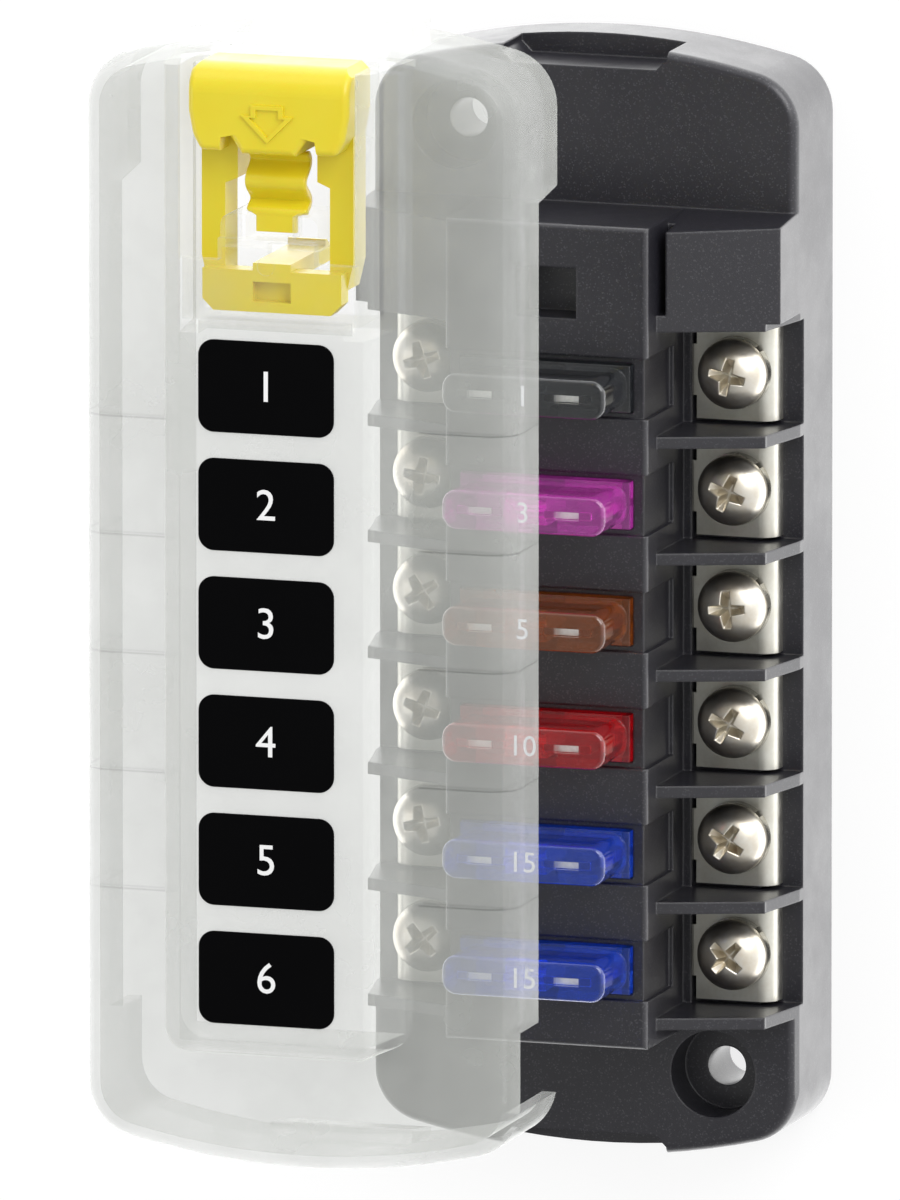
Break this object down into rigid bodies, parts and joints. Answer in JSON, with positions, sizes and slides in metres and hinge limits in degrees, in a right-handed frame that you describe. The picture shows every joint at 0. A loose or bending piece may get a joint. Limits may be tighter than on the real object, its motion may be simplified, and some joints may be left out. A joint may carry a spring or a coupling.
{
  "type": "blade fuse block",
  "caption": "Panel-mount fuse block for plug-in fuses, with screw terminals down both sides and a clear cover held by a sliding spring latch.",
  "frame": {"origin": "centre of the base's back face, which lies on the mounting panel", "axes": "+Z out of the panel towards the cover, +Y along the block towards the latch end, +X to the right when seen from the front"},
  "size_m": [0.0508, 0.1366, 0.1143],
  "materials": {
    "base_black": "satin moulded",
    "terminal_tin": "tin plated",
    "screw_nickel": "nickel plated",
    "fuse_metal": "zinc",
    "fuse_smoke": "smoke translucent",
    "fuse_violet": "violet translucent",
    "fuse_tan": "tan translucent",
    "fuse_red": "red translucent",
    "fuse_blue": "blue translucent",
    "cover_clear": "clear, slightly frosted",
    "latch_yellow": "satin",
    "label_black": "gloss film"
  },
  "bodies": {
    "base": {"base_housing": "base_black", "terminal_clip_left_1": "terminal_tin", "terminal_clip_right_1": "terminal_tin", "terminal_clip_left_2": "terminal_tin", "terminal_clip_right_2": "terminal_tin", "terminal_clip_left_3": "terminal_tin", "terminal_clip_right_3": "terminal_tin", "terminal_clip_left_4": "terminal_tin", "terminal_clip_right_4": "terminal_tin", "terminal_clip_left_5": "terminal_tin", "terminal_clip_right_5": "terminal_tin", "terminal_clip_left_6": "terminal_tin", "terminal_clip_right_6": "terminal_tin"},
    "cover": {"cover_shell": "cover_clear", "circuit_label_1": "label_black", "circuit_label_2": "label_black", "circuit_label_3": "label_black", "circuit_label_4": "label_black", "circuit_label_5": "label_black", "circuit_label_6": "label_black"},
    "latch": {"latch_slider": "latch_yellow", "latch_spring": "latch_yellow"},
    "fuse_1": {"fuse_body_1": "fuse_smoke", "fuse_element_1": "fuse_metal"},
    "washer_left_1": {"lock_washer_left_1": "screw_nickel"},
    "screw_left_1": {"terminal_screw_left_1": "screw_nickel"},
    "washer_right_1": {"lock_washer_right_1": "screw_nickel"},
    "screw_right_1": {"terminal_screw_right_1": "screw_nickel"},
    "fuse_2": {"fuse_body_2": "fuse_violet", "fuse_element_2": "fuse_metal"},
    "washer_left_2": {"lock_washer_left_2": "screw_nickel"},
    "screw_left_2": {"terminal_screw_left_2": "screw_nickel"},
    "washer_right_2": {"lock_washer_right_2": "screw_nickel"},
    "screw_right_2": {"terminal_screw_right_2": "screw_nickel"},
    "fuse_3": {"fuse_body_3": "fuse_tan", "fuse_element_3": "fuse_metal"},
    "washer_left_3": {"lock_washer_left_3": "screw_nickel"},
    "screw_left_3": {"terminal_screw_left_3": "screw_nickel"},
    "washer_right_3": {"lock_washer_right_3": "screw_nickel"},
    "screw_right_3": {"terminal_screw_right_3": "screw_nickel"},
    "fuse_4": {"fuse_body_4": "fuse_red", "fuse_element_4": "fuse_metal"},
    "washer_left_4": {"lock_washer_left_4": "screw_nickel"},
    "screw_left_4": {"terminal_screw_left_4": "screw_nickel"},
    "washer_right_4": {"lock_washer_right_4": "screw_nickel"},
    "screw_right_4": {"terminal_screw_right_4": "screw_nickel"},
    "fuse_5": {"fuse_body_5": "fuse_blue", "fuse_element_5": "fuse_metal"},
    "washer_left_5": {"lock_washer_left_5": "screw_nickel"},
    "screw_left_5": {"terminal_screw_left_5": "screw_nickel"},
    "washer_right_5": {"lock_washer_right_5": "screw_nickel"},
    "screw_right_5": {"terminal_screw_right_5": "screw_nickel"},
    "fuse_6": {"fuse_body_6": "fuse_blue", "fuse_element_6": "fuse_metal"},
    "washer_left_6": {"lock_washer_left_6": "screw_nickel"},
    "screw_left_6": {"terminal_screw_left_6": "screw_nickel"},
    "washer_right_6": {"lock_washer_right_6": "screw_nickel"},
    "screw_right_6": {"terminal_screw_right_6": "screw_nickel"}
  },
  "joints": [
    {"name": "cover_slide", "type": "slide", "parent": "base", "child": "cover", "axis": [-0.0392, 0.196, 0.9798], "range_m": [-0.07654, 0]},
    {"name": "latch_slide", "type": "slide", "parent": "cover", "child": "latch", "axis": [0, -1, 0], "range_m": [0, 0.0024], "stiffness_N_per_m": 1500, "deforming": ["latch_spring"]},
    {"name": "fuse_pull_1", "type": "slide", "parent": "base", "child": "fuse_1", "axis": [0, 0, 1], "range_m": [0, 0.014]},
    {"name": "screw_left_1_rise", "type": "slide", "parent": "base", "child": "washer_left_1", "axis": [0, 0, 1], "range_m": [0, 0.004]},
    {"name": "screw_left_1_turn", "type": "hinge", "parent": "washer_left_1", "child": "screw_left_1", "pos_m": [-0.0172, 0.0259, 0.014], "axis": [0, 0, 1], "range_deg": [0, 1815]},
    {"name": "screw_right_1_rise", "type": "slide", "parent": "base", "child": "washer_right_1", "axis": [0, 0, 1], "range_m": [0, 0.004]},
    {"name": "screw_right_1_turn", "type": "hinge", "parent": "washer_right_1", "child": "screw_right_1", "pos_m": [0.0172, 0.0259, 0.014], "axis": [0, 0, 1], "range_deg": [0, 1815]},
    {"name": "fuse_pull_2", "type": "slide", "parent": "base", "child": "fuse_2", "axis": [0, 0, 1], "range_m": [0, 0.014]},
    {"name": "screw_left_2_rise", "type": "slide", "parent": "base", "child": "washer_left_2", "axis": [0, 0, 1], "range_m": [0, 0.004]},
    {"name": "screw_left_2_turn", "type": "hinge", "parent": "washer_left_2", "child": "screw_left_2", "pos_m": [-0.0172, 0.0132, 0.014], "axis": [0, 0, 1], "range_deg": [0, 1815]},
    {"name": "screw_right_2_rise", "type": "slide", "parent": "base", "child": "washer_right_2", "axis": [0, 0, 1], "range_m": [0, 0.004]},
    {"name": "screw_right_2_turn", "type": "hinge", "parent": "washer_right_2", "child": "screw_right_2", "pos_m": [0.0172, 0.0132, 0.014], "axis": [0, 0, 1], "range_deg": [0, 1815]},
    {"name": "fuse_pull_3", "type": "slide", "parent": "base", "child": "fuse_3", "axis": [0, 0, 1], "range_m": [0, 0.014]},
    {"name": "screw_left_3_rise", "type": "slide", "parent": "base", "child": "washer_left_3", "axis": [0, 0, 1], "range_m": [0, 0.004]},
    {"name": "screw_left_3_turn", "type": "hinge", "parent": "washer_left_3", "child": "screw_left_3", "pos_m": [-0.0172, 0.0005, 0.014], "axis": [0, 0, 1], "range_deg": [0, 1815]},
    {"name": "screw_right_3_rise", "type": "slide", "parent": "base", "child": "washer_right_3", "axis": [0, 0, 1], "range_m": [0, 0.004]},
    {"name": "screw_right_3_turn", "type": "hinge", "parent": "washer_right_3", "child": "screw_right_3", "pos_m": [0.0172, 0.0005, 0.014], "axis": [0, 0, 1], "range_deg": [0, 1815]},
    {"name": "fuse_pull_4", "type": "slide", "parent": "base", "child": "fuse_4", "axis": [0, 0, 1], "range_m": [0, 0.014]},
    {"name": "screw_left_4_rise", "type": "slide", "parent": "base", "child": "washer_left_4", "axis": [0, 0, 1], "range_m": [0, 0.004]},
    {"name": "screw_left_4_turn", "type": "hinge", "parent": "washer_left_4", "child": "screw_left_4", "pos_m": [-0.0172, -0.0122, 0.014], "axis": [0, 0, 1], "range_deg": [0, 1815]},
    {"name": "screw_right_4_rise", "type": "slide", "parent": "base", "child": "washer_right_4", "axis": [0, 0, 1], "range_m": [0, 0.004]},
    {"name": "screw_right_4_turn", "type": "hinge", "parent": "washer_right_4", "child": "screw_right_4", "pos_m": [0.0172, -0.0122, 0.014], "axis": [0, 0, 1], "range_deg": [0, 1815]},
    {"name": "fuse_pull_5", "type": "slide", "parent": "base", "child": "fuse_5", "axis": [0, 0, 1], "range_m": [0, 0.014]},
    {"name": "screw_left_5_rise", "type": "slide", "parent": "base", "child": "washer_left_5", "axis": [0, 0, 1], "range_m": [0, 0.004]},
    {"name": "screw_left_5_turn", "type": "hinge", "parent": "washer_left_5", "child": "screw_left_5", "pos_m": [-0.0172, -0.0249, 0.014], "axis": [0, 0, 1], "range_deg": [0, 1815]},
    {"name": "screw_right_5_rise", "type": "slide", "parent": "base", "child": "washer_right_5", "axis": [0, 0, 1], "range_m": [0, 0.004]},
    {"name": "screw_right_5_turn", "type": "hinge", "parent": "washer_right_5", "child": "screw_right_5", "pos_m": [0.0172, -0.0249, 0.014], "axis": [0, 0, 1], "range_deg": [0, 1815]},
    {"name": "fuse_pull_6", "type": "slide", "parent": "base", "child": "fuse_6", "axis": [0, 0, 1], "range_m": [0, 0.014]},
    {"name": "screw_left_6_rise", "type": "slide", "parent": "base", "child": "washer_left_6", "axis": [0, 0, 1], "range_m": [0, 0.004]},
    {"name": "screw_left_6_turn", "type": "hinge", "parent": "washer_left_6", "child": "screw_left_6", "pos_m": [-0.0172, -0.0376, 0.014], "axis": [0, 0, 1], "range_deg": [0, 1815]},
    {"name": "screw_right_6_rise", "type": "slide", "parent": "base", "child": "washer_right_6", "axis": [0, 0, 1], "range_m": [0, 0.004]},
    {"name": "screw_right_6_turn", "type": "hinge", "parent": "washer_right_6", "child": "screw_right_6", "pos_m": [0.0172, -0.0376, 0.014], "axis": [0, 0, 1], "range_deg": [0, 1815]}
  ],
  "couplings": [
    {"joint": "screw_left_1_turn", "follows": "screw_left_1_rise", "rad_per_m": 7913.3},
    {"joint": "screw_right_1_turn", "follows": "screw_right_1_rise", "rad_per_m": 7913.3},
    {"joint": "screw_left_2_turn", "follows": "screw_left_2_rise", "rad_per_m": 7913.3},
    {"joint": "screw_right_2_turn", "follows": "screw_right_2_rise", "rad_per_m": 7913.3},
    {"joint": "screw_left_3_turn", "follows": "screw_left_3_rise", "rad_per_m": 7913.3},
    {"joint": "screw_right_3_turn", "follows": "screw_right_3_rise", "rad_per_m": 7913.3},
    {"joint": "screw_left_4_turn", "follows": "screw_left_4_rise", "rad_per_m": 7913.3},
    {"joint": "screw_right_4_turn", "follows": "screw_right_4_rise", "rad_per_m": 7913.3},
    {"joint": "screw_left_5_turn", "follows": "screw_left_5_rise", "rad_per_m": 7913.3},
    {"joint": "screw_right_5_turn", "follows": "screw_right_5_rise", "rad_per_m": 7913.3},
    {"joint": "screw_left_6_turn", "follows": "screw_left_6_rise", "rad_per_m": 7913.3},
    {"joint": "screw_right_6_turn", "follows": "screw_right_6_rise", "rad_per_m": 7913.3}
  ]
}
